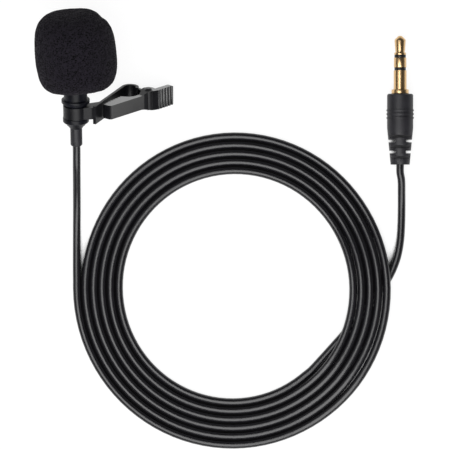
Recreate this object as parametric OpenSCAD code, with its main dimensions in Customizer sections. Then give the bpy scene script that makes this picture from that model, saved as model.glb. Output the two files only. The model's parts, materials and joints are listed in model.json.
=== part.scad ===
// Clip-on lavalier microphone: foam windscreen, electret capsule in a slim
// housing, a sprung clip that swivels round it, and a thin lead that lies in a
// flat spiral and ends in a 3.5 mm stereo plug. Millimetres, +Z up.

/* [Pose] */
// Rise of the microphone's axis above the table, in degrees
mic_tilt = 22; // [18:1:26]
// Turn of the clip round the microphone's axis, in degrees
clip_roll = 44.5; // [40:0.5:48]
// Lean of the windscreen off the microphone's axis, in degrees
foam_lean = 6; // [0:1:8]

/* [Housing] */
// Outer diameter of the capsule housing
barrel_d = 6.3; // [6:0.1:6.8]
// Bore of the housing round the capsule
barrel_bore_d = 5.2; // [5:0.1:5.3]
// Height of the housing above the middle of the clip's ring
barrel_top = 14.5; // [13:0.5:16]
// Diameter of the groove that the clip's ring turns in
groove_d = 5.5; // [5.2:0.1:5.8]
// Length of the groove along the axis
groove_len = 3.5; // [3:0.1:4]
// Diameter of the collar between groove and upper flange
collar_d = 6.2; // [5.9:0.1:6.6]
// Length of that collar
collar_len = 0.7; // [0.5:0.1:1]
// Diameter of the upper flange
flange_d = 7.6; // [7.2:0.1:7.8]
// Thickness of the upper flange
flange_len = 0.9; // [0.7:0.1:1.2]
// Bore through the neck for the capsule's leads
neck_bore_d = 3.4; // [3:0.1:3.8]

/* [Capsule] */
// Diameter of the electret capsule's can
can_d = 4.5; // [4:0.1:4.7]
// Height of the can
can_h = 2.6; // [2:0.1:3]
// Diameter of the sound hole in the can
can_hole_d = 1.2; // [0.8:0.1:1.6]
// Thickness of the dust felt over the can
felt_h = 0.4; // [0.3:0.1:0.5]
// Thickness of the capsule's circuit board
board_h = 0.5; // [0.4:0.1:0.8]
// Thickness of the grille cap's face
grille_h = 1.2; // [0.8:0.1:1.6]
// Depth of the grille cap's skirt inside the housing
skirt_h = 1; // [0.6:0.1:1.2]
// Diameter of a hole in the grille
grille_hole_d = 0.8; // [0.6:0.1:1]
// Holes in the grille's ring
grille_holes = 6; // [5:1:8]
// Diameter of one lead inside the neck
wire_d = 0.6; // [0.4:0.1:0.8]

/* [Rear cap and relief] */
// Diameter of the rear cap's flange
rear_d = 7; // [6.7:0.1:7.4]
// Length of that flange
rear_len = 1.4; // [1.1:0.1:1.8]
// Length of the stepped cone below it
cone_len = 1.65; // [1.3:0.05:2]
// Diameter of the microphone's strain relief
relief_d = 3.2; // [2.8:0.1:3.4]
// Length of the strain relief
relief_len = 5; // [4:0.5:7]

/* [Windscreen] */
// Diameter of the foam windscreen
foam_d = 21.6; // [19:0.1:23]
// Length of the foam windscreen
foam_len = 22; // [21:0.1:25]
// Height of its middle above the middle of the clip's ring
foam_mid = 16.9; // [16.5:0.1:17.5]
// Squareness of its crown
crown_power = 3.1; // [2:0.1:3.5]
// Squareness of its underside
base_power = 3.7; // [2.5:0.1:4]

/* [Clip] */
// Wall of the clip's ring
ring_wall = 0.6; // [0.5:0.05:0.7]
// Height of the clip's ring and of its stem
ring_h = 3.3; // [2.8:0.1:3.4]
// Height of the fixed arm
arm_h = 5; // [4.8:0.1:5.4]
// Thickness of the fixed arm
arm_t = 0.8; // [0.7:0.05:1]
// Angle between the fixed arm and the jaw's back, in degrees
arm_angle = 22; // [19:0.5:23]
// Outer radius of the bend at the fixed arm's end
bend_r = 2.4; // [2.2:0.1:2.5]
// Height of the moving jaw
jaw_h = 3.9; // [3.4:0.1:4.1]
// Height of the finger grip
grip_h = 5.5; // [5.4:0.1:6]
// Teeth along the jaw
teeth = 7; // [5:1:9]
// Depth of a tooth
tooth_depth = 0.5; // [0.3:0.1:0.6]
// Ribs on the finger grip
grip_ribs = 6; // [4:1:7]
// Height of a rib
rib_h = 0.3; // [0.2:0.05:0.4]
// Diameter of the pivot pin
pin_d = 1.2; // [1:0.1:1.3]
// Diameter of the pivot pin's head
pin_head_d = 2.1; // [1.8:0.1:2.4]
// Diameter of the spring's wire
spring_wire = 0.35; // [0.3:0.05:0.4]
// Mean radius of the spring's coil
spring_r = 1; // [0.95:0.05:1.05]

/* [Plug] */
// Diameter of the plug's sleeve, a standard size
plug_d = 3.5; // [3.4:0.1:3.6]
// Length of the plug from its collar to its point
shaft_len = 14.6; // [14:0.1:15]
// Diameter of the gold collar
plug_collar_d = 4.7; // [4.3:0.1:5]
// Thickness of the gold collar
plug_collar_len = 1.2; // [1:0.1:1.5]
// Diameter of the moulded grip
grip_d = 7.1; // [6.8:0.1:7.6]
// Length of the moulded grip
grip_len = 12.3; // [11:0.1:14]
// Length of the slotted strain relief behind it
boot_len = 6.9; // [6:0.1:8]
// Diameter where the slotted relief ends
boot_end_d = 5.2; // [4.6:0.1:5.8]
// Width of the web that each slot leaves
web_w = 2.8; // [2.4:0.1:3.2]

/* [Cord] */
// Diameter of the cord
cord_d = 2.1; // [1.8:0.1:2.1]
// Radius of the spiral where it starts
coil_r = 42.87; // [42:0.1:44]
// Step of the spiral from turn to turn
coil_step = 2.307; // [2.3:0.001:2.4]
// Turns of the spiral
coil_turns = 5.36; // [5.34:0.01:5.38]
// Length of the spiral as a share of its width
coil_oval = 1.01; // [1:0.005:1.02]

/* [Hidden] */
$fn = 64;

// Clearances: between pieces that turn, and between pieces that are pushed in.
run_gap = 0.05;
seat_gap = 0.02;
side_gap = 0.1;

// Where the microphone's ring is, from the origin under the middle of the
// microphone and clip, and where the coil and the plug lie from there.
mic_at = [-7.47, -8.99];
coil_from_mic = [42.44, -47.95];
plug_from_mic = [87.7, 5.01];

// Heights along the microphone's axis, from the middle of the clip's ring.
groove_top = groove_len / 2;
flange_top = groove_top + collar_len + flange_len;
neck_top = 4.5;
grille_bottom = barrel_top - skirt_h;
can_top = grille_bottom - felt_h;
can_bottom = can_top - can_h;
board_bottom = can_bottom - board_h;
rear_top = -groove_top;
cone_top = rear_top - rear_len;
cone_bottom = cone_top - cone_len;
relief_bottom = cone_bottom - relief_len;
spigot_len = 2;
wire_apart = 0.9;

// The clip's plan, seen along the microphone's axis: x runs along the jaw's
// back towards the grip, y from the jaw's back towards the fixed arm.
jaw_back = -7.83;
grip_back = -8.95;
pivot = [20.5, -6.6];
contact = [5.2, -4.9];
arm_start = -4.2;
arm_run = 14.05;
grip_end = 27.9;
lug_r = 1.3;
ear_r = 1.9;
lug_in = 1.15;
lug_out = jaw_h / 2 - side_gap;

// The middle of the bend at the fixed arm's end, along the arm and in the plan.
bend_at = [arm_run, arm_t - bend_r];
bend = contact + [
    bend_at[0] * cos(arm_angle) - bend_at[1] * sin(arm_angle),
    bend_at[0] * sin(arm_angle) + bend_at[1] * cos(arm_angle)];

// The clip lies on the back of its bend and of its grip's end, so these set
// how high the microphone lies.
grip_foot = [grip_end - 0.25, -7.55];
function depth(plan) = plan[0] * sin(clip_roll) + plan[1] * cos(clip_roll);
bend_foot_z = (depth(bend) + bend_r) * cos(mic_tilt) + arm_h / 2 * sin(mic_tilt);
grip_foot_z = depth(grip_foot) * cos(mic_tilt) + (grip_h / 2 - 0.6) * sin(mic_tilt);
ring_z = max(bend_foot_z, grip_foot_z);

plug_z = grip_d / 2 + 0.2;
tip_z = shaft_len + plug_collar_len;

// ---- Frames ----

module on_mic()
{
    translate([mic_at[0], mic_at[1], ring_z])
        rotate([mic_tilt - 90, 0, 0])
            children();
}

module on_clip()
{
    on_mic()
        rotate([0, 0, clip_roll])
            children();
}

module on_plug()
{
    translate([mic_at[0] + plug_from_mic[0], mic_at[1] + plug_from_mic[1], plug_z])
        rotate([-90, 0, 0])
            children();
}

// ---- Shared shapes ----

// A tube between two heights, with a bore.
module sleeve(d, bore, low, high)
{
    translate([0, 0, low])
        difference() {
            cylinder(d = d, h = high - low);
            translate([0, 0, -1])
                cylinder(d = bore, h = high - low + 2);
        }
}

module rod(d, low, high)
{
    translate([0, 0, low])
        cylinder(d = d, h = high - low);
}

// A slab in the clip's plan, of a given height about the ring's middle.
module slab(h)
{
    translate([0, 0, -h / 2])
        linear_extrude(h)
            children();
}

function unit(v) = v / norm(v);

// The direction of a route at one of its points, from the points beside it.
function heading(route, i) =
    i == 0 ? unit(route[1] - route[0])
    : i == len(route) - 1 ? unit(route[i] - route[i - 1])
    : unit(unit(route[i + 1] - route[i]) + unit(route[i] - route[i - 1]));

// The ring of points round a route, with its first corner straight up.
function tube_ring(route, i, r, sides) =
    let (
        along = heading(route, i),
        side = unit(cross(along, [0, 0, 1])),
        up = cross(side, along)
    )
    [for (k = [0 : sides - 1])
        let (a = 360 * k / sides)
            route[i] + r * (cos(a) * up + sin(a) * side)];

function tube_points(route, r, sides) =
    [for (i = [0 : len(route) - 1]) each tube_ring(route, i, r, sides)];

module tube(route, r, sides)
{
    last = (len(route) - 1) * sides;
    walls = [for (i = [0 : len(route) - 2]) for (k = [0 : sides - 1])
        let (
            a = i * sides + k,
            b = i * sides + (k + 1) % sides
        )
        each [[a, a + sides, b], [b, a + sides, b + sides]]];
    start = [for (k = [1 : sides - 2]) [0, k, k + 1]];
    end = [for (k = [1 : sides - 2]) [last, last + k + 1, last + k]];
    polyhedron(tube_points(route, r, sides), concat(walls, start, end));
}

// ---- Microphone ----

// Half the outline of the windscreen: one power curve for the crown and one
// for the underside.
foam_steps = 14;
function foam_edge(side, power) =
    [for (i = [0 : foam_steps])
        let (
            a = 90 * i / foam_steps,
            out = pow(cos(a), 2 / power),
            rise = pow(sin(a), 2 / power)
        )
        [foam_d / 2 * (i == foam_steps ? 0 : out), side * foam_len / 2 * rise]];

function reversed(list) = [for (i = [len(list) - 1 : -1 : 0]) list[i]];

module foam_windscreen()
{
    crown = foam_edge(1, crown_power);
    base = reversed(foam_edge(-1, base_power));
    outline = concat([for (i = [0 : foam_steps - 1]) base[i]], crown);
    color("#1b1b1d")
        on_mic()
            difference() {
                translate([0, 0, foam_mid])
                    rotate([0, -foam_lean, 0])
                        rotate_extrude($fn = 72)
                            polygon(outline);
                rod(barrel_d + 2 * run_gap, 0, barrel_top + grille_h + 0.2);
            }
}

module mic_housing()
{
    color("#222224")
        on_mic()
            difference() {
                union() {
                    rod(groove_d, rear_top, groove_top);
                    rod(collar_d, groove_top, groove_top + collar_len);
                    rod(flange_d, groove_top + collar_len, flange_top);
                    rod(barrel_d, flange_top, barrel_top);
                }
                rod(barrel_bore_d, neck_top, barrel_top + 1);
                rod(neck_bore_d, rear_top - 1, neck_top + 1);
            }
}

module grille_cap()
{
    hole_ring = barrel_d / 4;
    color("#2a2a2c")
        on_mic()
            difference() {
                union() {
                    translate([0, 0, barrel_top])
                        cylinder(d1 = barrel_d, d2 = barrel_d - 0.5, h = grille_h);
                    rod(barrel_bore_d - 2 * seat_gap, grille_bottom, barrel_top);
                }
                rod(can_d - 0.6, grille_bottom - 1, barrel_top + grille_h - 0.5);
                for (i = [0 : grille_holes - 1])
                    rotate([0, 0, 360 * i / grille_holes])
                        translate([hole_ring, 0, 0])
                            rod(grille_hole_d, barrel_top, barrel_top + grille_h + 1);
                rod(grille_hole_d, barrel_top, barrel_top + grille_h + 1);
            }
}

module dust_felt()
{
    color("#101011")
        on_mic()
            rod(can_d - 0.1, can_top, grille_bottom);
}

module capsule_can()
{
    color("#b9bbbd")
        on_mic()
            difference() {
                rod(can_d, can_bottom, can_top);
                rod(can_hole_d, can_top - 0.4, can_top + 1);
                rod(can_d - 0.8, can_bottom + 0.4, can_top - 0.3);
            }
}

module capsule_boot()
{
    color("#161617")
        on_mic()
            sleeve(barrel_bore_d - 2 * seat_gap, can_d + 2 * seat_gap,
                board_bottom, can_top);
}

module capsule_board()
{
    color("#2f6b3a")
        on_mic()
            difference() {
                rod(can_d - 0.2, board_bottom, can_bottom);
                for (side = [-1, 1])
                    translate([side * wire_apart, 0, 0])
                        rod(wire_d + 2 * seat_gap, board_bottom - 1, board_bottom + 0.3);
            }
}

module capsule_leads()
{
    color("#b5432f")
        on_mic()
            for (side = [-1, 1])
                translate([side * wire_apart, 0, 0])
                    rod(wire_d, cone_top, board_bottom + 0.3);
}

module rear_cap()
{
    color("#202022")
        on_mic()
            difference() {
                union() {
                    rod(neck_bore_d - 2 * seat_gap, rear_top, rear_top + spigot_len);
                    rod(rear_d, cone_top + 0.3, rear_top);
                    translate([0, 0, cone_top])
                        cylinder(d1 = rear_d - 0.5, d2 = rear_d, h = 0.3);
                    translate([0, 0, cone_top - 0.55 * cone_len])
                        cylinder(d1 = 4.7, d2 = rear_d - 1.1, h = 0.55 * cone_len);
                    translate([0, 0, cone_bottom])
                        cylinder(d1 = relief_d + 0.3, d2 = 4.2, h = 0.45 * cone_len);
                }
                rod(2 * wire_apart + wire_d + 0.2, cone_top - 0.1, rear_top + spigot_len + 1);
                rod(relief_d - 0.5, cone_bottom - 1, cone_top);
            }
}

module mic_relief()
{
    color("#262628")
        on_mic() {
            rod(relief_d - 0.5 - 2 * seat_gap, cone_bottom, cone_top);
            rod(relief_d, relief_bottom + 0.3, cone_bottom);
            translate([0, 0, relief_bottom])
                cylinder(d1 = relief_d - 0.4, d2 = relief_d, h = 0.3);
        }
}

// ---- Clip ----

module along_arm()
{
    translate(contact)
        rotate(arm_angle)
            children();
}

module arm_plan()
{
    along_arm() {
        translate([arm_start, 0])
            square([arm_run - arm_start, arm_t]);
        difference() {
            translate(bend_at)
                circle(r = bend_r);
            translate(bend_at)
                circle(r = bend_r - arm_t);
            translate([arm_run - 2 * bend_r, bend_at[1] - bend_r])
                square([2 * bend_r, 2 * bend_r - arm_t]);
            translate([arm_run - 2 * bend_r, arm_t - 2 * arm_t])
                square([2 * bend_r, arm_t]);
        }
    }
}

// The straight tail of the bend, down to the pivot's lugs.
module lug_plan()
{
    out = bend[0] + bend_r;
    difference() {
        polygon([
            [out - arm_t, bend[1]], [out, bend[1]],
            [out, pivot[1]], [out - arm_t - 0.4, pivot[1]]
        ]);
        translate(pivot)
            circle(d = pin_d + 2 * run_gap);
    }
}

module clip_holder()
{
    ring_d = groove_d + 2 * run_gap + 2 * ring_wall;
    color("#232325")
        on_clip()
            difference() {
                union() {
                    rod(ring_d, -ring_h / 2, ring_h / 2);
                    slab(ring_h)
                        polygon([[-0.4, -3.2], [3.1, -1.2], [8.2, -3.2], [3, -5.6]]);
                    slab(arm_h)
                        arm_plan();
                    slab(2 * lug_out) {
                        lug_plan();
                        translate(pivot)
                            circle(r = lug_r);
                    }
                }
                rod(groove_d + 2 * run_gap, -ring_h, ring_h);
                translate(pivot) {
                    rod(pin_d + 2 * run_gap, -arm_h, arm_h);
                    rod(2 * (lug_r + 0.05), -lug_in, lug_in);
                }
            }
}

// The jaw and grip in plan, with a saw of teeth along the bite.
bite_start = [5.35, -4.98];
bite_end = [12.6, -3.75];
function bite_point(i, depth) =
    bite_start + (bite_end - bite_start) * i / teeth - [0, depth];

module jaw_plan()
{
    bite = [for (i = [0 : teeth - 1])
        each [bite_point(i, 0), bite_point(i + 0.75, tooth_depth)]];
    polygon(concat(
        [[5.9, jaw_back], [5.4, jaw_back + 0.5], [5.1, -5.4]],
        bite,
        [bite_end, [14.3, -5.85], [15.5, -6.4], [18.6, -6.5], [22, -7.35],
         [27.4, -7.5], [grip_end, -7.8], [grip_end, grip_back + 0.7],
         [27.3, grip_back + 0.2], [24.6, grip_back - 0.05], [21.8, grip_back - 0.1],
         [20.3, grip_back + 0.35], [19.2, jaw_back - 0.1], [17.8, jaw_back]]));
}

// The jaw seen from its back: a slim bar that flares into the finger grip,
// with rounded corners at the grip's end.
flare_from = 16.4;
flare_to = 20.6;
function flare(s) = jaw_h / 2 + (grip_h - jaw_h) / 2 * s * s * (3 - 2 * s);

module jaw_height_plan()
{
    corner = 1.1;
    half = [
        [0, jaw_h / 2],
        for (i = [0 : 6]) [flare_from + (flare_to - flare_from) * i / 6, flare(i / 6)],
        for (a = [90 : -18 : 0])
            [grip_end + 0.01 - corner + corner * cos(a), grip_h / 2 - corner + corner * sin(a)]
    ];
    polygon(concat(half, [for (p = reversed(half)) [p[0], -p[1]]]));
}

module clip_jaw()
{
    color("#29292b")
        on_clip()
            difference() {
                intersection() {
                    union() {
                        slab(grip_h)
                            jaw_plan();
                        slab(grip_h) {
                            translate(pivot)
                                circle(r = ear_r);
                            polygon([[17, -6.6], [19.4, pivot[1] + 1.5], [22.2, pivot[1] - 0.7],
                                [22, -8], [18, -7.6]]);
                        }
                        for (i = [0 : grip_ribs - 1])
                            translate([22.1 + 1.02 * i, grip_back + 0.12, 0])
                                rod(2 * rib_h + 0.1, -grip_h / 2, grip_h / 2);
                    }
                    rotate([90, 0, 0])
                        translate([0, 0, -5])
                            linear_extrude(20)
                                jaw_height_plan();
                }
                translate(pivot) {
                    rod(2 * (lug_r + side_gap), -lug_out - side_gap, lug_out + side_gap);
                    rod(pin_d + 2 * seat_gap, -grip_h, grip_h);
                }
                translate([pivot[0] - 3.2, pivot[1] + 0.1, -lug_out - side_gap])
                    cube([6, 3, 2 * (lug_out + side_gap)]);
            }
}

// The pin's head has a rounded edge, and its other end is peened over.
pin_head_h = 0.35;
peen_h = 0.28;

module clip_pin()
{
    head_z = grip_h / 2 + seat_gap;
    color("#3a3a3c")
        on_clip()
            translate(pivot) {
                rod(pin_d, -head_z - peen_h / 2, head_z + pin_head_h / 2);
                translate([0, 0, head_z])
                    cylinder(d1 = pin_head_d, d2 = pin_head_d - 0.7, h = pin_head_h);
                translate([0, 0, -head_z - peen_h])
                    cylinder(d1 = pin_d + 0.2, d2 = pin_d + 0.6, h = peen_h);
            }
}

// The spring's route: one leg along the grip, the turns round the pin, and
// one leg up the back of the fixed arm's bend.
spring_turns = 1.75;
spring_pitch = 0.8;
spring_rings = 8;
leg_len = 3.8;
function spring_route() =
    let (
        count = spring_turns * spring_rings,
        low = -spring_turns * spring_pitch / 2
    )
    concat(
        [[leg_len + 0.6, -0.4, low], [1.5, 0.7, low], [0.7, 0.95, low]],
        [for (i = [0 : count])
            let (a = 90 + 360 * i / spring_rings)
                [spring_r * cos(a), spring_r * sin(a), low + spring_pitch * i / spring_rings]],
        [[spring_r, 1, -low], [spring_r, leg_len, -low]]);

module clip_spring()
{
    color("#8f9194")
        on_clip()
            translate(pivot)
                tube(spring_route(), spring_wire / 2, 6);
}

// ---- Plug ----

insulator_h = 0.8;
insulator_d = plug_d - 0.38;
shank_d = plug_collar_d - 0.4;
shank_len = 0.8;
ring_len = 2.65;
sleeve_len = 5.2;
sleeve_top = plug_collar_len + sleeve_len;
ring_low = sleeve_top + insulator_h;
ring_top = ring_low + ring_len;
tip_low = ring_top + insulator_h;
tip_rod_d = 1;
ring_rod_d = 2;
rod_wall = 0.24;

module plug_tip()
{
    nose = 1.15;
    color("#d9a441")
        on_plug() {
            rod(tip_rod_d, -3.5, tip_low);
            rod(3.2, tip_low, tip_low + 0.6);
            translate([0, 0, tip_low + 0.6])
                cylinder(d1 = 2.5, d2 = 3.08, h = tip_z - nose - tip_low - 0.6);
            translate([0, 0, tip_z - nose])
                cylinder(d1 = 3.08, d2 = 0.9, h = nose);
        }
}

module plug_insulator_front()
{
    color("#141415")
        on_plug() {
            sleeve(insulator_d, tip_rod_d + 2 * seat_gap, ring_top, tip_low);
            sleeve(tip_rod_d + 2 * rod_wall, tip_rod_d + 2 * seat_gap, -2.6, ring_top);
        }
}

module plug_ring()
{
    inner = tip_rod_d + 2 * rod_wall + 2 * seat_gap;
    color("#d9a441")
        on_plug() {
            sleeve(3.4, inner, ring_low, ring_top);
            sleeve(ring_rod_d, inner, -1.8, ring_low);
        }
}

module plug_insulator_rear()
{
    inner = ring_rod_d + 2 * seat_gap;
    color("#141415")
        on_plug() {
            sleeve(insulator_d, inner, sleeve_top, ring_low);
            sleeve(ring_rod_d + 2 * rod_wall, inner, -1, sleeve_top);
        }
}

module plug_sleeve()
{
    inner = ring_rod_d + 2 * rod_wall + 2 * seat_gap;
    color("#d9a441")
        on_plug() {
            sleeve(plug_d, inner, plug_collar_len, sleeve_top);
            sleeve(plug_collar_d, inner, 0, plug_collar_len);
            sleeve(shank_d, inner, -shank_len, 0);
        }
}

core_d = 5;
core_len = 8;

module plug_core()
{
    color("#d8d6cf")
        on_plug()
            difference() {
                rod(core_d, -core_len, -seat_gap);
                rod(shank_d + 2 * seat_gap, -shank_len - seat_gap, 1);
                rod(ring_rod_d + 2 * rod_wall + 2 * seat_gap, -1 - seat_gap, 0);
                rod(ring_rod_d + 2 * seat_gap, -1.8 - seat_gap, 0);
                rod(tip_rod_d + 2 * rod_wall + 2 * seat_gap, -2.6 - seat_gap, 0);
                rod(tip_rod_d + 2 * seat_gap, -3.5 - seat_gap, 0);
            }
}

// The moulded grip runs on into the relief: slots cut from the sides and from
// front and back take turns, and each leaves a web.
slot_pitch = boot_len / 5.2;
slot_h = slot_pitch * 0.56;

module boot_slot(level, turn)
{
    low = -grip_len - level * slot_pitch;
    rotate([0, 0, turn])
        for (side = [-1, 1])
            translate([side > 0 ? web_w / 2 : -web_w / 2 - 4, -5, low - slot_h])
                cube([4, 10, slot_h]);
}

module plug_grip()
{
    waist = grip_len - 3;
    color("#202022")
        on_plug()
            difference() {
                union() {
                    rod(grip_d, -waist, -0.3);
                    translate([0, 0, -0.3])
                        cylinder(d1 = grip_d, d2 = grip_d - 0.5, h = 0.3);
                    translate([0, 0, -grip_len])
                        cylinder(d1 = grip_d - 0.6, d2 = grip_d, h = grip_len - waist);
                    translate([0, 0, -grip_len - boot_len])
                        cylinder(d1 = boot_end_d, d2 = grip_d - 0.6, h = boot_len);
                    for (i = [0 : 2])
                        rod(grip_d + 0.36, -4.65 - 1.03 * i, -4.25 - 1.03 * i);
                }
                rod(core_d + 2 * seat_gap, -core_len - seat_gap, 1);
                boot_slot(-0.85, 90);
                boot_slot(0.1, 0);
                boot_slot(1.25, 90);
                boot_slot(2.35, 0);
                boot_slot(3.45, 90);
            }
}

// ---- Cord ----

cord_z = cord_d / 2;
mic_xy = [mic_at[0], mic_at[1]];
coil_xy = mic_xy + coil_from_mic;

// How far the spiral is lifted where it passes over the cord's tail, as a
// share, by the part of a turn that has been gone round.
lift = 1.1 * cord_d;
lift_starts = 0.3167;
lift_full = 0.408;
lift_leaves = 0.514;
lift_ends = 0.606;
function ease(s) = s <= 0 ? 0 : s >= 1 ? 1 : s * s * (3 - 2 * s);
function lift_share(part) =
    ease((part - lift_starts) / (lift_full - lift_starts))
    * (1 - ease((part - lift_leaves) / (lift_ends - lift_leaves)));

// A point of the spiral. It starts at the left and runs inward, anticlockwise.
function coil_point(turns) =
    let (
        a = 180 + 360 * turns,
        r = coil_r - coil_step * turns,
        up = turns < floor(coil_turns) ? lift * lift_share(turns - floor(turns)) : 0
    )
    [coil_xy[0] + r * cos(a), coil_xy[1] + coil_oval * r * sin(a), cord_z + up];

coil_rings = 24;
coil_last = coil_point(coil_turns);
coil_heading = unit(coil_last - coil_point(coil_turns - 0.01));
coil_path = concat(
    [coil_point(0) + [0, cord_d, 0]],
    [for (i = [0 : floor(coil_turns * coil_rings)]) coil_point(i / coil_rings)],
    [coil_last, coil_last + cord_d * coil_heading]);

// The least gap between one turn and the next, from corner to corner.
function turn_gap(i) =
    let (
        one = tube_ring(coil_path, i, cord_d / 2, 6),
        next = tube_ring(coil_path, i + coil_rings, cord_d / 2, 6)
    )
    min([for (a = one) for (b = next) norm(a - b)]);
coil_gap = min([for (i = [1 : len(coil_path) - coil_rings - 3]) turn_gap(i)]);
echo(least_gap_between_turns = coil_gap);

// The free lead: straight out of the relief, down to the table, along to the
// coil. Its points are from the ring's middle, with heights from the table.
lead_from = [
    mic_at[0],
    mic_at[1] + relief_bottom * cos(mic_tilt),
    ring_z + relief_bottom * sin(mic_tilt)];
lead_out = [0, -cos(mic_tilt), -sin(mic_tilt)];
lead_route = [
    [-0.07, -14.8, 8.8], [-0.15, -18.6, 6.7], [-0.24, -22.6, 4.5], [-0.32, -26.8, 2.75],
    [-0.4, -31.2, 1.65], [-0.44, -35.6, 1.15], [-0.46, -40, 1.05], [-0.46, -43, 1.05]
];
function from_mic(route) = [for (p = route) [mic_at[0] + p[0], mic_at[1] + p[1], p[2]]];

// The tail: out of the coil's inner end, under five turns, up to the plug.
tail_route = [
    [66.4, -67.3, 1.05], [71.1, -62.1, 1.05], [75.7, -56.9, 1.05], [79.8, -52.2, 1.05],
    [82.75, -48.2, 1.05], [84.6, -45.2, 1.05], [86, -42.4, 1.05], [87.2, -38.9, 1.05],
    [87.93, -34.6, 1.05], [88.2, -29.8, 1.05], [88.25, -25.4, 1.3], [88.18, -21.6, 2.3],
    [88.06, -18.4, 3.4]
];
tail_end = [
    mic_at[0] + plug_from_mic[0],
    mic_at[1] + plug_from_mic[1] - grip_len - boot_len,
    plug_z];

module cord_lead()
{
    color("#19191b")
        tube(concat([lead_from, lead_from + cord_d * lead_out], from_mic(lead_route),
            [coil_path[0]]), cord_d / 2, 8);
}

module cord_coil()
{
    color("#19191b")
        tube(coil_path, cord_d / 2, 6);
}

module cord_tail()
{
    start = coil_path[len(coil_path) - 1];
    color("#19191b")
        tube(concat([start, start + cord_d * coil_heading], from_mic(tail_route),
            [tail_end - [0, cord_d, 0], tail_end]), cord_d / 2, 8);
}

foam_windscreen();
mic_housing();
grille_cap();
dust_felt();
capsule_can();
capsule_boot();
capsule_board();
capsule_leads();
rear_cap();
mic_relief();
clip_holder();
clip_jaw();
clip_pin();
clip_spring();
plug_tip();
plug_insulator_front();
plug_ring();
plug_insulator_rear();
plug_sleeve();
plug_core();
plug_grip();
cord_lead();
cord_coil();
cord_tail();
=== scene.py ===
# %% [markdown]
# # A clip-on microphone with a foam windscreen, a coiled lead and a small plug
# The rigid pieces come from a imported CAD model, which is the fixed frame here. This
# lesson gives them turned and rounded surfaces, makes the soft pieces, and finishes
# everything in procedural materials.

# %% Load the frame
import json
import math
import bpy
from mathutils import Matrix, Vector, noise


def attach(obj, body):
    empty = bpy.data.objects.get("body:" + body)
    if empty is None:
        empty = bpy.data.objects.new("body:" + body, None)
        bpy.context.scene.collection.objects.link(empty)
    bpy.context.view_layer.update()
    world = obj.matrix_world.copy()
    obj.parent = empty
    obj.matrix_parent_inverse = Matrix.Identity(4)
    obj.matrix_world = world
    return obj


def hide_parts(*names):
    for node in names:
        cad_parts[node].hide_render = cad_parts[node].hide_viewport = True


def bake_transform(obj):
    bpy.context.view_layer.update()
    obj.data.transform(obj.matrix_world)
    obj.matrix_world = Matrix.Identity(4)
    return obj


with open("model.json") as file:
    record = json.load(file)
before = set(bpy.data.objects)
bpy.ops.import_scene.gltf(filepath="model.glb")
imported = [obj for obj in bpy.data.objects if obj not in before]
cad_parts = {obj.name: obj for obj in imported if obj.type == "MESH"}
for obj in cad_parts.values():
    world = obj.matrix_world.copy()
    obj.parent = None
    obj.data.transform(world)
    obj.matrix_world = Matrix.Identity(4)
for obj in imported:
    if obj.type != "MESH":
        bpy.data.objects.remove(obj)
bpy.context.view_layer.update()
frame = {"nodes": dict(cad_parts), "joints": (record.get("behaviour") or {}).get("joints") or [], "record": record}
MM = 0.001

# %% [markdown]
# ## Places
# The microphone's axis leans up off the table, and the clip turns round it. The joints
# of the frame say where that axis is, so nothing is measured twice. A place along the
# axis is then a height in millimetres from the middle of the clip's ring. The plug lies
# flat, and its frame starts where its gold collar meets the grip.

# %% The microphone's and the plug's own frames
joints = {joint["name"]: joint for joint in frame["joints"]}
mounts = {mount["name"]: mount for mount in frame["record"]["mounts"]}
ring_middle = Vector(joints["clip_swivel"]["pos_m"])
mic_axis = Vector(joints["clip_swivel"]["axis"]).normalized()
PLUG_SHAFT_MIDDLE = 3.8 * MM


def frame_along(axis, origin):
    """A matrix whose z runs along an axis that has no x part, and whose x stays level."""
    level = Vector((1, 0, 0))
    across = axis.cross(level)
    turn = Matrix((level, across, axis)).transposed()
    return Matrix.Translation(origin) @ turn.to_4x4()


MIC = frame_along(mic_axis, ring_middle)
plug_axis = Vector(mounts["plug_shaft"]["axis"])
PLUG = frame_along(
    plug_axis, Vector(mounts["plug_shaft"]["pos_m"]) - PLUG_SHAFT_MIDDLE * plug_axis)
print("ring at", [round(v / MM, 2) for v in ring_middle])
print("plug at", [round(v / MM, 2) for v in PLUG.translation])

# %% [markdown]
# ## Camera
# The object is seen from straight above. A long lens from 0.8 m keeps the perspective
# slight, as on a product table, and the camera stands over the middle of the layout.

# %% Set the camera over the table
CAMERA_OVER = (32.57, -39.63)
CAMERA_HEIGHT = 800
TABLE_WIDTH = 123.03
bpy.context.scene.view_settings.view_transform = "Standard"
camera_data = bpy.data.cameras.new("camera")
camera_data.sensor_width = 36
camera_data.lens = camera_data.sensor_width * CAMERA_HEIGHT / TABLE_WIDTH
camera_data.clip_start, camera_data.clip_end = 0.01, 10
camera = bpy.data.objects.new("camera", camera_data)
camera.location = (CAMERA_OVER[0] * MM, CAMERA_OVER[1] * MM, CAMERA_HEIGHT * MM)
bpy.context.scene.collection.objects.link(camera)
bpy.context.scene.camera = camera
print("lens", round(camera_data.lens, 1), "mm")

# %% [markdown]
# ## The cord's route
# The cord is one 2.1 mm cable, laid out neatly: it leaves the strain relief,
# sinks to the table, winds inward in a flat spiral of five turns, and its inner end
# passes under those turns to the plug. The turns rise where they pass over it. A smooth
# line of close points is drawn through the same places as the CAD solids.

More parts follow.
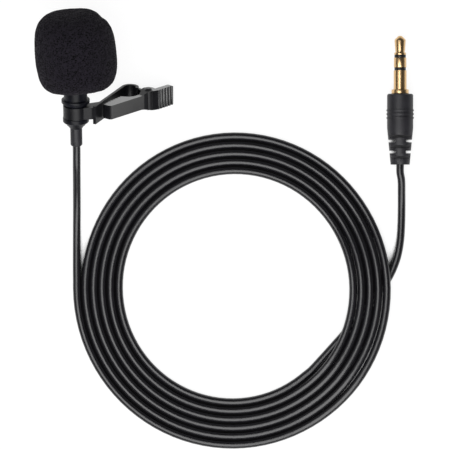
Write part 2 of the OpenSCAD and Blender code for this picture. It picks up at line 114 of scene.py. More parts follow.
# %% Points of the spiral, the lead and the tail
CORD_D = 2.1
COIL_MIDDLE = Vector((34.97, -56.94, 1.05))
COIL_R = 42.87
COIL_OVAL = 1.01
COIL_STEP = 2.307
COIL_TURNS = 5.36
LIFT = 1.1 * CORD_D
LIFT_STARTS, LIFT_FULL, LIFT_LEAVES, LIFT_ENDS = 0.3167, 0.408, 0.514, 0.606
POINTS_A_TURN = 96
LEAD_POINTS = [
    (-0.07, -14.8, 8.8), (-0.15, -18.6, 6.7), (-0.24, -22.6, 4.5), (-0.32, -26.8, 2.75),
    (-0.4, -31.2, 1.65), (-0.44, -35.6, 1.15), (-0.46, -40, 1.05), (-0.46, -43, 1.05)]
TAIL_POINTS = [
    (66.4, -67.3, 1.05), (71.1, -62.1, 1.05), (75.7, -56.9, 1.05), (79.8, -52.2, 1.05),
    (82.75, -48.2, 1.05), (84.6, -45.2, 1.05), (86, -42.4, 1.05), (87.2, -38.9, 1.05),
    (87.93, -34.6, 1.05), (88.2, -29.8, 1.05), (88.25, -25.4, 1.3), (88.18, -21.6, 2.3),
    (88.06, -18.4, 3.4)]
RELIEF_BOTTOM = -9.8
BOOT_BOTTOM = -19.2


def ease(share):
    """Goes from 0 to 1 with a soft start and a soft end."""
    share = min(max(share, 0), 1)
    return share * share * (3 - 2 * share)


def coil_point(turns):
    """A place on the spiral, in millimetres, after this many turns."""
    angle = math.radians(180 + 360 * turns)
    radius = COIL_R - COIL_STEP * turns
    part = turns % 1
    rise = ease((part - LIFT_STARTS) / (LIFT_FULL - LIFT_STARTS))
    fall = ease((part - LIFT_LEAVES) / (LIFT_ENDS - LIFT_LEAVES))
    lift = LIFT * rise * (1 - fall) if turns < 5 else 0
    return COIL_MIDDLE + Vector(
        (radius * math.cos(angle), COIL_OVAL * radius * math.sin(angle), lift))


def from_mic(points):
    """Places from the middle of the clip's ring, as places on the table."""
    return [Vector((ring_middle.x / MM + x, ring_middle.y / MM + y, z))
            for x, y, z in points]


def along(matrix, height):
    """A point on a frame's own axis, in millimetres."""
    return matrix @ Vector((0, 0, height * MM)) / MM


lead_start = along(MIC, RELIEF_BOTTOM)
coil_start = coil_point(0)
coil_end = coil_point(COIL_TURNS)
coil_heading = (coil_end - coil_point(COIL_TURNS - 0.01)).normalized()
tail_end = along(PLUG, BOOT_BOTTOM)
route = [lead_start, lead_start - CORD_D * mic_axis, *from_mic(LEAD_POINTS),
         coil_start + Vector((0, CORD_D, 0))]
lead_count = len(route)
route += [coil_point(i / POINTS_A_TURN)
          for i in range(int(COIL_TURNS * POINTS_A_TURN) + 1)]
route += [coil_end, coil_end + CORD_D * coil_heading, *from_mic(TAIL_POINTS),
          tail_end - Vector((0, CORD_D, 0)), tail_end]
print(len(route), "points in the route")


# %% Smooth the loose parts of the route
def smoothed(points, dense_from, dense_to, pieces=6):
    """The points, with more between them on a curve where they are far apart."""
    made = []
    for i in range(len(points) - 1):
        a = points[max(i - 1, 0)]
        b, c = points[i], points[i + 1]
        d = points[min(i + 2, len(points) - 1)]
        made.append(b)
        if dense_from <= i < dense_to:
            continue
        out = (c - a) * (c - b).length / max((c - a).length, 1e-6)
        into = (d - b) * (c - b).length / max((d - b).length, 1e-6)
        for k in range(1, pieces):
            s = k / pieces
            made.append(b * (2 * s**3 - 3 * s**2 + 1) + out * (s**3 - 2 * s**2 + s)
                        + c * (3 * s**2 - 2 * s**3) + into * (s**3 - s**2))
    return made + [points[-1]]


END_PLACES = 4  # the spiral's last two places, and the two at the plug
route = smoothed(route, lead_count, len(route) - len(TAIL_POINTS) - END_PLACES)


# %% Draw the cord
def wire(name, places, diameter, resolution):
    """A round wire, as a curve with closed ends, through places in metres."""
    curve = bpy.data.curves.new(name, "CURVE")
    curve.dimensions = "3D"
    curve.bevel_depth = diameter / 2 * MM
    curve.bevel_resolution = resolution
    curve.use_fill_caps = True
    spline = curve.splines.new("POLY")
    spline.points.add(len(places) - 1)
    for point, place in zip(spline.points, places):
        point.co = (*place, 1)
    spline.use_smooth = True
    made = bpy.data.objects.new(name, curve)
    bpy.context.scene.collection.objects.link(made)
    return made


cord = wire("cord", [place * MM for place in route], CORD_D, resolution=6)
print("cord drawn,", CORD_D, "mm thick")

# %% [markdown]
# ## A few helpers for modelling
# Turned pieces are made as on a lathe: one point is extruded along a profile and the
# profile is spun round the axis. Moulded pieces start from a merged copy of the CAD
# solid, whose flat faces are joined so that a bevel can round the edges.


# %% Selection and editing helpers
def only(piece):
    """Makes this piece the only one that is selected, and active."""
    bpy.ops.object.select_all(action="DESELECT")
    piece.select_set(True)
    bpy.context.view_layer.objects.active = piece


def apply_modifier(piece, kind, **settings):
    """Adds a modifier with these settings and applies it."""
    only(piece)
    modifier = piece.modifiers.new(kind.lower(), kind)
    for key, value in settings.items():
        setattr(modifier, key, value)
    bpy.ops.object.modifier_apply(modifier=modifier.name)


def smooth_by_angle(piece, degrees=35):
    """Shades smooth, and keeps the edges that are sharper than an angle."""
    only(piece)
    bpy.ops.object.shade_smooth_by_angle(angle=math.radians(degrees))


def round_edges(piece, width, angle=40, segments=2):
    """Rounds the edges that are sharper than an angle, and shades the rest smooth."""
    apply_modifier(piece, "BEVEL", width=width * MM, segments=segments,
                   limit_method="ANGLE", angle_limit=math.radians(angle),
                   use_clamp_overlap=True, miter_outer="MITER_ARC")
    smooth_by_angle(piece)
    apply_modifier(piece, "WEIGHTED_NORMAL", keep_sharp=True)


# %% A lathe for turned pieces
WELD = 0.0005


def turned(name, profile, place, width=0.06, steps=96):
    """Spins a closed profile of (radius, height) points, in mm, round a frame's axis."""
    bpy.ops.object.select_all(action="DESELECT")
    bpy.ops.mesh.primitive_plane_add(size=MM)
    piece = bpy.context.object
    piece.name = piece.data.name = name
    bpy.ops.object.mode_set(mode="EDIT")
    bpy.ops.mesh.merge(type="CENTER")
    path = [Vector((r, 0, z)) * MM for r, z in profile]
    bpy.ops.transform.translate(value=path[0])
    here = path[0]
    for there in path[1:] + path[:1]:
        bpy.ops.mesh.extrude_region_move(TRANSFORM_OT_translate={"value": there - here})
        here = there
    bpy.ops.mesh.select_all(action="SELECT")
    bpy.ops.mesh.remove_doubles(threshold=WELD * MM)
    bpy.ops.mesh.spin(steps=steps, angle=2 * math.pi, center=(0, 0, 0), axis=(0, 0, 1))
    bpy.ops.mesh.select_all(action="SELECT")
    bpy.ops.mesh.remove_doubles(threshold=WELD * MM)
    bpy.ops.mesh.normals_make_consistent(inside=False)
    bpy.ops.object.mode_set(mode="OBJECT")
    round_edges(piece, width)
    piece.data.transform(place)
    piece.data.update()
    return piece


# %% A merged and rounded copy of a CAD solid
def rounded_copy(node, name, width, angle=40):
    """A copy of a CAD solid, with points merged, faces joined and edges rounded."""
    source = frame["nodes"][node]
    piece = bpy.data.objects.new(name, source.data.copy())
    bpy.context.scene.collection.objects.link(piece)
    only(piece)
    bpy.ops.object.mode_set(mode="EDIT")
    bpy.ops.mesh.select_all(action="SELECT")
    bpy.ops.mesh.customdata_custom_splitnormals_clear()
    bpy.ops.mesh.remove_doubles(threshold=2 * WELD * MM)
    bpy.ops.mesh.dissolve_limited(angle_limit=math.radians(0.5))
    bpy.ops.object.mode_set(mode="OBJECT")
    round_edges(piece, width, angle)
    return piece


# %% [markdown]
# ## The foam windscreen
# It is a ball of open-cell foam, cut and singed to a squarish egg, with a socket that is
# pushed over the housing. It starts as a sphere whose radius and height follow a power
# curve, a cylinder cuts the socket, and a voxel remesh gives an even skin. Each point of
# the skin is then moved in or out by a cell pattern, so that the pores are real.

# %% Shape the foam
FOAM_D, FOAM_LEN, FOAM_MID, FOAM_LEAN = 21.6, 22.0, 16.9, 6.0
CROWN_POWER, BASE_POWER = 3.1, 3.7
SOCKET_D, SOCKET_TOP = 6.4, 15.9
SKIN_CELL = 0.19
HAND_CUT = [
    1.026, 1.026, 1.020, 1.005, 0.979, 0.937, 0.965, 0.975, 0.968, 0.959, 0.968, 0.980,
    1.000, 1.006, 0.996, 0.978, 0.967, 0.968, 0.981, 0.993, 0.998, 0.993, 1.004, 1.013,
    1.004, 0.977, 0.968, 0.965, 0.968, 0.976, 1.000, 1.032, 1.034, 1.020, 1.019, 1.022]


def hand_cut(angle):
    """How far the hand-cut outline is off the regular one, by the angle round it."""
    step = 360 / len(HAND_CUT)
    place = angle % 360 / step
    first = int(place) % len(HAND_CUT)
    one, other = HAND_CUT[first], HAND_CUT[(first + 1) % len(HAND_CUT)]
    return one + (other - one) * ease(place % 1)


bpy.ops.object.select_all(action="DESELECT")
bpy.ops.mesh.primitive_uv_sphere_add(segments=96, ring_count=64, radius=1)
foam = bpy.context.object
foam.name = foam.data.name = "foam"
for vertex in foam.data.vertices:
    x, y, z = vertex.co
    flat = math.hypot(x, y)
    power = CROWN_POWER if z > 0 else BASE_POWER
    out = flat ** (2 / power) / max(flat, 1e-6) * FOAM_D / 2
    x, y = x * out, y * out
    z = math.copysign(abs(z) ** (2 / power), z) * FOAM_LEN / 2
    cut = hand_cut(math.degrees(math.atan2(z, x)) + FOAM_LEAN)
    vertex.co = Vector((x * cut, y, z * cut)) * MM
foam.data.transform(
    Matrix.Translation((0, 0, FOAM_MID * MM)) @ Matrix.Rotation(
        math.radians(-FOAM_LEAN), 4, "Y"))

# %% Cut the socket
bpy.ops.object.select_all(action="DESELECT")
bpy.ops.mesh.primitive_cylinder_add(
    vertices=64, radius=SOCKET_D / 2 * MM, depth=SOCKET_TOP * MM,
    location=(0, 0, SOCKET_TOP / 2 * MM))
cutter = bpy.context.object
apply_modifier(foam, "BOOLEAN", object=cutter, operation="DIFFERENCE", solver="EXACT")
bpy.data.objects.remove(cutter)
apply_modifier(foam, "REMESH", mode="VOXEL", voxel_size=SKIN_CELL * MM,
               use_smooth_shade=True)
print("foam skin:", len(foam.data.polygons), "faces")

# %% Open the pores
PORE_WIDTH, PORE_DEPTH, PORE_WALL = 0.5, 0.16, 0.5
skin = [(vertex.co.copy(), vertex.normal.copy()) for vertex in foam.data.vertices]
pits = []
for spot, _ in skin:
    near = noise.voronoi(spot / (PORE_WIDTH * MM))[0]
    pits.append(ease((near[1] - near[0]) / PORE_WALL))
# The depth of each pit is kept on the skin, so that the foam's material can paint shade into the pits.
pores = foam.data.attributes.new("pore", "FLOAT", "POINT")
pores.data.foreach_set("value", pits)
sunk = [spot - normal * (PORE_DEPTH * MM * pit)
        for (spot, normal), pit in zip(skin, pits)]
foam.data.vertices.foreach_set("co", [axis for spot in sunk for axis in spot])
foam.data.transform(MIC)
foam.data.update()
print("pores open, mean depth", round(PORE_DEPTH * sum(pits) / len(pits), 3), "mm")

# %% [markdown]
# ## Turned pieces of the microphone
# The housing, the rear cap and the strain relief are round, so each is a profile on the
# lathe, with its edges broken by a small radius.

# %% Housing and rear cap
housing = turned("housing", [
    (1.7, -1.75), (2.75, -1.75), (2.75, 1.75), (3.1, 1.75), (3.1, 2.45), (3.8, 2.45),
    (3.8, 3.35), (3.15, 3.35), (3.15, 14.5), (2.6, 14.5), (2.6, 4.5), (1.7, 4.5)],
    MIC, width=0.1)
cap = turned("rear_cap_turned", [
    (1.35, -4.8), (1.75, -4.8), (2.1, -4.057), (2.35, -4.057), (2.95, -3.15),
    (3.25, -3.15), (3.5, -2.85), (3.5, -1.75), (1.68, -1.75), (1.68, 0.25), (1.3, 0.25)],
    MIC, width=0.09)
print("housing and cap turned")

# %% Strain relief of the microphone
relief = turned("mic_relief_turned", [
    (0, -9.8), (1.4, -9.8), (1.6, -9.5), (1.6, -4.8), (1.33, -4.8), (1.33, -3.15),
    (0, -3.15)],
    MIC, width=0.08)
print("relief turned,", len(relief.data.polygons), "faces")

# %% [markdown]
# ## The plug
# Its tip, ring and sleeve are turned brass with gold plating, kept apart by nylon rings.
# Each reaches back inside the next, as the real contacts do, so each is a tube on the
# lathe, and only the tip is solid.

# %% Turned pieces of the plug
SLEEVE_TOP, RING_LOW, RING_TOP, TIP_LOW, TIP_TOP = 6.4, 7.2, 9.85, 10.65, 15.8
plug_sleeve = turned("plug_sleeve_turned", [
    (1.26, -0.8), (2.15, -0.8), (2.15, 0), (2.35, 0), (2.35, 1.2), (1.75, 1.2),
    (1.75, SLEEVE_TOP), (1.26, SLEEVE_TOP)], PLUG, width=0.07)
plug_ring = turned("plug_ring_turned", [
    (0.76, -1.8), (1.0, -1.8), (1.0, RING_LOW), (1.7, RING_LOW), (1.7, RING_TOP),
    (0.76, RING_TOP)], PLUG, width=0.07)
plug_tip = turned("plug_tip_turned", [
    (0, -3.5), (0.5, -3.5), (0.5, TIP_LOW), (1.6, TIP_LOW), (1.6, TIP_LOW + 0.6),
    (1.25, TIP_LOW + 0.6), (1.32, TIP_LOW + 1.2), (1.54, TIP_TOP - 1.3),
    (1.45, TIP_TOP - 0.95), (0.45, TIP_TOP), (0, TIP_TOP)], PLUG, width=0.07)
insulator_front = turned("insulator_front_turned", [
    (0.52, -2.6), (0.74, -2.6), (0.74, RING_TOP), (1.56, RING_TOP), (1.56, TIP_LOW),
    (0.52, TIP_LOW)], PLUG, width=0.03)
insulator_rear = turned("insulator_rear_turned", [
    (1.02, -1.0), (1.24, -1.0), (1.24, SLEEVE_TOP), (1.56, SLEEVE_TOP),
    (1.56, RING_LOW), (1.02, RING_LOW)], PLUG, width=0.03)
print("plug turned,", TIP_TOP, "mm from the grip to its point")

# %% [markdown]
# ## Moulded pieces
# The clip's two halves and the plug's grip are injection moulded. Moulded edges are
# never sharp, so copies of the CAD solids get a small radius all round, which is also
# what draws the bright lines along their edges.

# %% Clip and grip
holder = rounded_copy("clip_holder", "holder_moulded", width=0.09)
jaw = rounded_copy("clip_jaw", "jaw_moulded", width=0.12)
pin = rounded_copy("clip_pin", "pin_head", width=0.07)
grip = rounded_copy("plug_grip", "plug_grip_moulded", width=0.05)
grille = rounded_copy("grille_cap", "grille_pierced", width=0.05)
for piece in (holder, jaw, pin, grip, grille):
    print(piece.name, len(piece.data.polygons), "faces")

# %% [markdown]
# ### The clip's spring
# A torsion spring presses the jaw shut: one leg lies along the grip, the turns go round the pin, and one leg lies
# behind the bend. It is a wire along a route, like the cord, and is made a mesh.

# %% Wind the spring
CLIP_ROLL = 44.5
SPRING_R, SPRING_WIRE, SPRING_TURNS, SPRING_PITCH = 1.0, 0.35, 1.75, 0.8
POINTS_A_SPRING_TURN = 24
CLIP = Matrix.Translation(Vector(joints["jaw_open"]["pos_m"])) @ (
    MIC.to_3x3() @ Matrix.Rotation(math.radians(CLIP_ROLL), 3, "Z")).to_4x4()
spring_low = -SPRING_TURNS * SPRING_PITCH / 2
spring_route = [(4.4, -0.4, spring_low), (1.5, 0.7, spring_low), (0.7, 0.95, spring_low)]
for i in range(int(SPRING_TURNS * POINTS_A_SPRING_TURN) + 1):
    turns = i / POINTS_A_SPRING_TURN
    angle = math.radians(90) + 2 * math.pi * turns
    spring_route.append((SPRING_R * math.cos(angle), SPRING_R * math.sin(angle),
                         spring_low + SPRING_PITCH * turns))
spring_route += [(SPRING_R, 1, -spring_low), (SPRING_R, 3.8, -spring_low)]
spring = wire("spring_wound", [CLIP @ (Vector(place) * MM) for place in spring_route],
              SPRING_WIRE, resolution=4)
only(spring)
bpy.ops.object.convert(target="MESH")
spring = bpy.context.object
for name, corners in (("spring", spring.data.vertices),
                      ("solid", frame["nodes"]["clip_spring"].data.vertices)):
    print(name, [round(pick(v.co[i] for v in corners) / MM, 2)
                 for pick in (min, max) for i in range(3)])

# %% [markdown]
# ## Materials
# Each material starts from what the real one is. One helper turns a hex colour to
# linear light, and one adds a node with its settings and links.


# %% Material helpers
def linear(hex_colour):
    """An sRGB hex colour as linear red, green, blue and full alpha."""
    parts = [int(hex_colour[i:i + 2], 16) / 255 for i in (1, 3, 5)]
    return (*[p / 12.92 if p <= 0.04045 else ((p + 0.055) / 1.055) ** 2.4
              for p in parts], 1)


def add_node(tree, kind, settings=None, **inputs):
    """Adds a node. Settings are its properties, and inputs are values or sockets."""
    made = tree.nodes.new(kind)
    for key, value in (settings or {}).items():
        setattr(made, key, value)
    for key, value in inputs.items():
        socket = made.inputs[int(key[1:])] if key[0] == "i" and key[1:].isdigit() \
            else made.inputs[key.replace("_", " ")]
        if isinstance(value, bpy.types.NodeSocket):
            tree.links.new(value, socket)
        else:
            socket.default_value = value
    return made


def new_material(name):
    """A material with an empty tree, and the shader that everything ends in."""
    material = bpy.data.materials.new(name)
    material.use_nodes = True
    tree = material.node_tree
    tree.nodes.clear()
    shader = add_node(tree, "ShaderNodeBsdfPrincipled")
    output = add_node(tree, "ShaderNodeOutputMaterial")
    tree.links.new(shader.outputs["BSDF"], output.inputs["Surface"])
    return material, tree, shader


def object_place(tree):
    """Object coordinates, which stay with the piece as it moves."""
    return add_node(tree, "ShaderNodeTexCoord").outputs["Object"]


def two_tone(tree, factor, dark, light, low=0.3, high=0.7):
    """A colour between two hex colours, by a factor stretched to its own range."""
    ramp = add_node(tree, "ShaderNodeValToRGB", Fac=factor)
    ramp.color_ramp.elements[0].position = low
    ramp.color_ramp.elements[1].position = high
    ramp.color_ramp.elements[0].color = linear(dark)
    ramp.color_ramp.elements[1].color = linear(light)
    return ramp.outputs["Color"]


def per_mm(size):
    """The scale of a pattern whose cells are this many millimetres across."""
    return 1 / (size * MM)


# %% [markdown]
# ### Polyurethane foam
# Open-cell foam scatters light in its pores, so it is quite matt. Its colour is painted darker with the depth of
# each pore's pit, as painted shade: the pits are near black, and the walls between them are a dark grey.

# %% Foam material
foam_material, tree, shader = new_material("open_cell_polyurethane_foam")
place = object_place(tree)
pit = add_node(tree, "ShaderNodeAttribute", {"attribute_name": "pore"})
FOAM_GRAIN = 0.28
grain = add_node(tree, "ShaderNodeTexNoise", Vector=place, Scale=per_mm(FOAM_GRAIN),
                 Detail=2.0)
depth = add_node(tree, "ShaderNodeMath", {"operation": "MULTIPLY"},
                 i0=grain.outputs["Fac"], i1=0.6)
# Painted shade: the colour goes darker as a pore's pit gets deeper. The noise above adds a random grain.
shade = add_node(tree, "ShaderNodeMath", {"operation": "SUBTRACT"},
                 i0=0.95, i1=pit.outputs["Fac"])
mixed = add_node(tree, "ShaderNodeMath", {"operation": "ADD"},
                 i0=depth.outputs[0], i1=shade.outputs[0])
tree.links.new(two_tone(tree, mixed.outputs[0], "#010102", "#1e1b22", 0.5, 1.35),
               shader.inputs["Base Color"])
bump = add_node(tree, "ShaderNodeBump", Height=mixed.outputs[0], Strength=0.7,
                Distance=0.1 * MM)
tree.links.new(bump.outputs["Normal"], shader.inputs["Normal"])
shader.inputs["Roughness"].default_value = 0.95
shader.inputs["Specular IOR Level"].default_value = 0.1
shader.inputs["Sheen Weight"].default_value = 0.05
shader.inputs["Sheen Roughness"].default_value = 0.5
print(foam_material.name, len(tree.nodes), "nodes")


# %% [markdown]
# ### Black plastics and the anodised housing
# They share a recipe: a near-black colour that drifts a little, a fine moulding or
# blasting grain in the bump, and a roughness that varies as fingers and wear leave it.

# %% A recipe for near-black surfaces
def dark_surface(name, dark, light, roughness, grain_mm, grain_height, specular=0.5,
                 drift_mm=3.0, coat=0.0, coat_roughness=0.1):
    """A near-black material with a drift in its colour and a fine grain in its bump."""
    material, tree, shader = new_material(name)
    place = object_place(tree)
    drift = add_node(tree, "ShaderNodeTexNoise", Vector=place, Scale=per_mm(drift_mm),
                     Detail=3.0)
    tree.links.new(two_tone(tree, drift.outputs["Fac"], dark, light),
                   shader.inputs["Base Color"])
    grain = add_node(tree, "ShaderNodeTexNoise", Vector=place, Scale=per_mm(grain_mm),
                     Detail=2.0)
    bump = add_node(tree, "ShaderNodeBump", Height=grain.outputs["Fac"], Strength=0.5,
                    Distance=grain_height * MM)
    tree.links.new(bump.outputs["Normal"], shader.inputs["Normal"])
    rough = add_node(tree, "ShaderNodeMapRange", Value=drift.outputs["Fac"],
                     To_Min=roughness * 0.85, To_Max=roughness * 1.15)
    tree.links.new(rough.outputs["Result"], shader.inputs["Roughness"])
    shader.inputs["Specular IOR Level"].default_value = specular
    shader.inputs["Coat Weight"].default_value = coat
    shader.inputs["Coat Roughness"].default_value = coat_roughness
    return material


# %% Outer surfaces: blasted and anodised, moulded satin, moulded glossy, extruded
anodised = dark_surface("black_anodised_aluminium", "#08090e", "#10111b", 0.38, 0.06,
                        0.002, specular=0.22)
clip_nylon = dark_surface("moulded_glass_filled_nylon", "#0a0a0d", "#131317", 0.38, 0.1,
                          0.003, specular=0.28)
clip_abs = dark_surface("moulded_black_abs", "#0c0c0d", "#161517", 0.3, 0.12, 0.003,
                        specular=0.9, coat=0.9, coat_roughness=0.25)
cord_pvc = dark_surface("extruded_black_pvc", "#09080d", "#0e0d13", 0.31, 0.6, 0.001,
                        specular=0.72, drift_mm=9.0)
print("outer surfaces mixed, from", anodised.name, "to", cord_pvc.name)

# %% Matt mouldings, paint, felt and rubber
relief_pvc = dark_surface("moulded_matt_pvc", "#17161b", "#212026", 0.5, 0.09, 0.006)
nylon = dark_surface("moulded_black_nylon", "#0c0c0d", "#151516", 0.4, 0.1, 0.004)
black_paint = dark_surface("black_painted_brass", "#171719", "#222224", 0.42, 0.05, 0.005)
black_felt = dark_surface("black_felt", "#08080a", "#141417", 0.9, 0.05, 0.03,
                          specular=0.1)
soft_rubber = dark_surface("soft_black_rubber", "#101011", "#1a1a1b", 0.6, 0.15, 0.01)
black_steel = dark_surface("blackened_steel_pin", "#1d1d1f", "#2c2c2e", 0.3, 0.08, 0.004)
print(len(bpy.data.materials), "materials so far")


# %% [markdown]
# ### Metals
# Gold plating on turned brass keeps the fine rings of the lathe. The capsule's can is
# drawn aluminium, and the spring is blued steel wire.

# %% A recipe for metals
def metal_surface(name, dark, light, roughness, line_mm, line_height, axis_matrix):
    """A metal with fine rings round the axis of a frame, as a lathe leaves them."""
    material, tree, shader = new_material(name)
    place = object_place(tree)
    turn = axis_matrix.inverted().to_euler()
    mapped = add_node(tree, "ShaderNodeMapping", Vector=place, Rotation=turn)
    lines = add_node(tree, "ShaderNodeTexNoise", {"noise_dimensions": "1D"},
                     Scale=per_mm(line_mm), Detail=2.0)
    parts = add_node(tree, "ShaderNodeSeparateXYZ", Vector=mapped.outputs[0])
    tree.links.new(parts.outputs["Z"], lines.inputs["W"])
    tree.links.new(two_tone(tree, lines.outputs["Fac"], dark, light),
                   shader.inputs["Base Color"])
    bump = add_node(tree, "ShaderNodeBump", Height=lines.outputs["Fac"], Strength=0.4,
                    Distance=line_height * MM)
    tree.links.new(bump.outputs["Normal"], shader.inputs["Normal"])
    shader.inputs["Metallic"].default_value = 1
    shader.inputs["Roughness"].default_value = roughness
    return material


gold = metal_surface("gold_plated_brass", "#d2ac7a", "#e8c696", 0.26, 0.08, 0.001, PLUG)
can_metal = metal_surface("drawn_aluminium", "#a5a7a9", "#c2c4c6", 0.3, 0.2, 0.002, MIC)
spring_steel = metal_surface("blued_spring_steel", "#1c1d20", "#2e3034", 0.3, 0.1, 0.001,
                             MIC)
print("metals:", gold.name, can_metal.name, spring_steel.name)

# %% Small hidden pieces
core_pe = dark_surface("natural_polyethylene", "#d2cfc6", "#e0ddd4", 0.5, 0.2, 0.004)
board_green = dark_surface("green_solder_mask", "#1f5c33", "#2c7242", 0.35, 0.1, 0.003)
lead_red = dark_surface("red_pvc_insulation", "#9c2a20", "#b23a2c", 0.4, 0.15, 0.004)
print("hidden pieces:", core_pe.name, board_green.name, lead_red.name)


# %% [markdown]
# ## Finish each piece
# Each piece but the spring rides on the CAD body that it belongs to, and stands for the solids that it replaces,
# which are hidden.

# %% Give out materials and bodies
def finish_piece(piece, material, body, slot, *stands_for):
    """Gives a piece its material and its body, and hides the solids it stands for. The slot is not used."""
    piece.data.materials.clear()
    piece.data.materials.append(material)
    if body:
        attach(piece, body)
    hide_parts(*stands_for)


finish_piece(foam, foam_material, "windscreen", "foam", "foam_windscreen")
finish_piece(housing, anodised, "microphone", "housing_black", "mic_housing")
finish_piece(cap, anodised, "microphone", "housing_black", "rear_cap")
finish_piece(relief, relief_pvc, "microphone", "relief_pvc", "mic_relief")
finish_piece(grille, black_paint, "microphone", "grille_black", "grille_cap")
finish_piece(holder, clip_nylon, "clip", "clip_plastic", "clip_holder")
finish_piece(jaw, clip_abs, "jaw", "clip_plastic", "clip_jaw")
finish_piece(pin, black_steel, "jaw", "pin_steel", "clip_pin")
finish_piece(spring, spring_steel, None, "spring_steel", "clip_spring")
finish_piece(grip, relief_pvc, "microphone", "relief_pvc", "plug_grip")
finish_piece(plug_sleeve, gold, "microphone", "gold", "plug_sleeve")
finish_piece(plug_ring, gold, "microphone", "gold", "plug_ring")
finish_piece(plug_tip, gold, "microphone", "gold", "plug_tip")
finish_piece(insulator_front, nylon, "microphone", "insulator", "plug_insulator_front")
finish_piece(insulator_rear, nylon, "microphone", "insulator", "plug_insulator_rear")
finish_piece(cord, cord_pvc, "microphone", "cord_pvc", "cord_lead", "cord_coil",
             "cord_tail")
print("pieces finished")

# %% [markdown]
# ### Two finishes on the jaw, and the spring
# The mould of the jaw is polished along its bar and ribs, and etched at its tip and at the flare between them. The
# faces deep in the grooves between the ribs take the same duller, slightly darker material as a painted shade,
# since shade falls there. So the jaw has a second material, given face by face. The spring crosses the jaw's
# hinge.

# %% Etch part of the jaw, and paint shade into the grooves between the ribs
TIP_END, BAR_END, RIBS_START = 5.88, 17.2, 21.9
FIRST_RIB, RIB_PITCH, RIB_HALF, RIB_FOOT = 22.1, 1.02, 0.29, -8.6
jaw.data.materials.append(clip_nylon)
to_clip = (MIC @ Matrix.Rotation(math.radians(CLIP_ROLL), 4, "Z")).inverted()
for face in jaw.data.polygons:
    reach, depth = (to_clip @ face.center).xy / MM
    off_rib = abs((reach - FIRST_RIB + RIB_PITCH / 2) % RIB_PITCH - RIB_PITCH / 2)
    # Painted shade: the faces deep in the grooves between the ribs take the duller, darker material.
    painted_shade_in_groove = reach > RIBS_START and depth < RIB_FOOT and off_rib > RIB_HALF
    face.material_index = int(
        reach < TIP_END or BAR_END < reach < RIBS_START or painted_shade_in_groove)
print(sum(face.material_index for face in jaw.data.polygons), "faces of the jaw etched")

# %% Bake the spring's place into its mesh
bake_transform(spring)

# %% Materials of the CAD nodes that stay
CARRIED_OVER = {"dust_felt": black_felt, "capsule_can": can_metal,
                "capsule_boot": soft_rubber, "capsule_board": board_green,
                "capsule_leads": lead_red, "plug_core": core_pe}
for node, material in CARRIED_OVER.items():
    for material_slot in frame["nodes"][node].material_slots:
        material_slot.material = material
print("carried over:", *CARRIED_OVER)

# %% [markdown]
# ## Table, world and light
# The table is white and shows white to the camera and in reflections, with a little of
# the lamps' light mixed in, so that the object's shadow stays. In the crevices under and
# between the strands that white fades out, because no light gets down there. The room is
# white to the camera. In reflections it is grey at the sides and dark overhead, which
# keeps the blacks black. One large softbox draws a soft line along every strand, and a
# dimmer panel lights the left flanks.

# %% A switch between what is seen and what lights
def seen_rays(tree):
    """The light path's node, and 1 for rays that look: camera, glossy, transmission."""
    rays = add_node(tree, "ShaderNodeLightPath")
    looks = rays.outputs["Is Camera Ray"]
    for kind in ("Is Glossy Ray", "Is Transmission Ray"):
        looks = add_node(tree, "ShaderNodeMath", {"operation": "MAXIMUM"}, i0=looks,
                         i1=rays.outputs[kind]).outputs[0]
    return rays, looks


# %% The table
TABLE_SIZE = 6
CREVICE_REACH = 8
CLOSED, OPEN, CREVICE_LIGHT = 0.33, 0.47, 0.006
KEPT, GLOW = 0.15, 0.89
bpy.ops.object.select_all(action="DESELECT")
bpy.ops.mesh.primitive_plane_add(size=TABLE_SIZE, location=(0, 0, -0.02 * MM))
table = bpy.context.object
table.name = "table"
table_material = bpy.data.materials.new("white_table")
table_material.use_nodes = True
tree = table_material.node_tree
tree.nodes.clear()
rays, looks = seen_rays(tree)
lit = add_node(tree, "ShaderNodeBsdfDiffuse", Color=(0.85, 0.85, 0.85, 1))
crevice = add_node(tree, "ShaderNodeAmbientOcclusion", {"samples": 16},
                   Distance=CREVICE_REACH * MM)
daylight = add_node(tree, "ShaderNodeMapRange", {"interpolation_type": "SMOOTHSTEP"},
                    Value=crevice.outputs["AO"], From_Min=CLOSED, From_Max=OPEN,
                    To_Min=CREVICE_LIGHT).outputs["Result"]
tint = add_node(tree, "ShaderNodeMath", {"operation": "MULTIPLY"}, i0=daylight, i1=KEPT)
kept = add_node(tree, "ShaderNodeBsdfDiffuse", Color=tint.outputs[0])
strength = add_node(tree, "ShaderNodeMath", {"operation": "MULTIPLY"}, i0=daylight,
                    i1=GLOW)
glow = add_node(tree, "ShaderNodeEmission", Color=(1, 1, 1, 1),
                Strength=strength.outputs[0])
shown = add_node(tree, "ShaderNodeAddShader", i0=kept.outputs[0], i1=glow.outputs[0])
both = add_node(tree, "ShaderNodeMixShader", i0=looks, i1=lit.outputs[0],
                i2=shown.outputs[0])
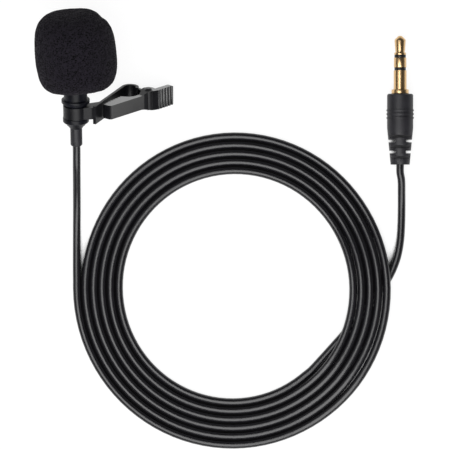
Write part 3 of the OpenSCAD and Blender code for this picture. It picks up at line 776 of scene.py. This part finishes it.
add_node(tree, "ShaderNodeOutputMaterial", Surface=both.outputs[0])
table.data.materials.append(table_material)
print("table laid,", TABLE_SIZE, "m wide")

# %% The world
ROOM_LOW, ROOM_HIGH = 0.35, 0.06
world = bpy.data.worlds.new("studio")
bpy.context.scene.world = world
world.use_nodes = True
tree = world.node_tree
tree.nodes.clear()
place = add_node(tree, "ShaderNodeTexCoord").outputs["Generated"]
height = add_node(tree, "ShaderNodeSeparateXYZ", Vector=place).outputs["Z"]
grey = add_node(tree, "ShaderNodeMapRange", Value=height, From_Min=0.05, From_Max=0.5,
                To_Min=ROOM_LOW, To_Max=ROOM_HIGH)
rays, looks = seen_rays(tree)
soft = add_node(tree, "ShaderNodeBackground", Color=(1, 1, 1, 1), Strength=0.3)
room = add_node(tree, "ShaderNodeBackground", Color=(1, 1, 1, 1),
                Strength=grey.outputs["Result"])
both = add_node(tree, "ShaderNodeMixShader", i0=looks, i1=soft.outputs[0],
                i2=room.outputs[0])
backdrop = add_node(tree, "ShaderNodeBackground", Color=(1, 1, 1, 1), Strength=1.0)
shown = add_node(tree, "ShaderNodeMixShader", i0=rays.outputs["Is Camera Ray"],
                 i1=both.outputs[0], i2=backdrop.outputs[0])
add_node(tree, "ShaderNodeOutputWorld", Surface=shown.outputs[0])
print("room from", ROOM_LOW, "at the sides to", ROOM_HIGH, "overhead")


# %% The lamps
def softbox(name, place, size, turn, radiance):
    """A level rectangular lamp over the table, as bright per area as radiance says."""
    data = bpy.data.lights.new(name, "AREA")
    data.shape = "RECTANGLE"
    data.size, data.size_y = size
    data.energy = radiance * math.pi * size[0] * size[1]
    lamp = bpy.data.objects.new(name, data)
    lamp.location = place
    lamp.rotation_euler = (0, 0, math.radians(turn))
    lamp.visible_camera = False
    bpy.context.scene.collection.objects.link(lamp)
    print(name, round(data.energy, 2), "W")


softbox("key", (0.03, -0.44, 0.6), (1.02, 0.58), -53, 3.4)
softbox("panel", (-0.4, 0.14, 0.62), (0.52, 0.32), 0, 0.8)
